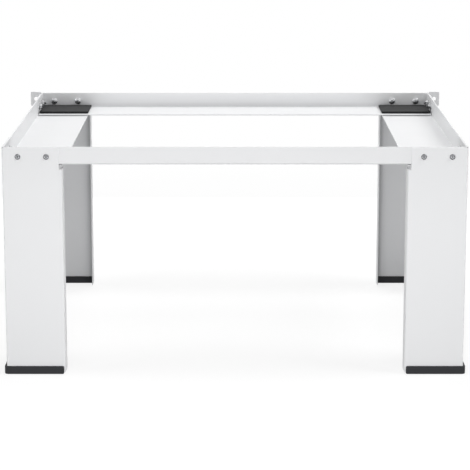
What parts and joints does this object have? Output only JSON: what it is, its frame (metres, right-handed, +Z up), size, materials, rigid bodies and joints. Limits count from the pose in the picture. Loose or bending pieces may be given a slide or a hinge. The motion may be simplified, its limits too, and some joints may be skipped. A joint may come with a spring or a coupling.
{
  "type": "laundry pedestal",
  "caption": "Low open stand of folded sheet steel with a raised rim, rubber feet and corner pads, for a washing machine or a dryer.",
  "frame": {"origin": "on the floor, in the middle of the stand", "axes": "+X to the right seen from the front, +Y to the back, where the wall lugs are, +Z up"},
  "size_m": [0.6572, 0.5402, 0.3155],
  "materials": {
    "painted_steel": "white powder coat, semi-matt",
    "foot_rubber": "matt black rubber edging",
    "pad_rubber": "matt black rubber pad",
    "zinc_steel": "zinc-plated"
  },
  "bodies": {
    "root": {"leg_front_left": "painted_steel", "leg_front_right": "painted_steel", "leg_rear_left": "painted_steel", "leg_rear_right": "painted_steel", "front_rail": "painted_steel", "rear_rail": "painted_steel", "side_beam_left": "painted_steel", "side_beam_right": "painted_steel", "foot_front_left": "foot_rubber", "foot_front_right": "foot_rubber", "foot_rear_left": "foot_rubber", "foot_rear_right": "foot_rubber", "pad_front_left": "pad_rubber", "pad_front_right": "pad_rubber", "pad_rear_left": "pad_rubber", "pad_rear_right": "pad_rubber", "rail_screws_front_left": "zinc_steel", "rail_screws_front_right": "zinc_steel", "rail_screws_rear_left": "zinc_steel", "rail_screws_rear_right": "zinc_steel", "rail_nuts_front_left": "zinc_steel", "rail_nuts_front_right": "zinc_steel", "rail_nuts_rear_left": "zinc_steel", "rail_nuts_rear_right": "zinc_steel", "side_screws_front_left": "zinc_steel", "side_screws_front_right": "zinc_steel", "side_screws_rear_left": "zinc_steel", "side_screws_rear_right": "zinc_steel", "side_nuts_front_left": "zinc_steel", "side_nuts_front_right": "zinc_steel", "side_nuts_rear_left": "zinc_steel", "side_nuts_rear_right": "zinc_steel"}
  },
  "joints": []
}
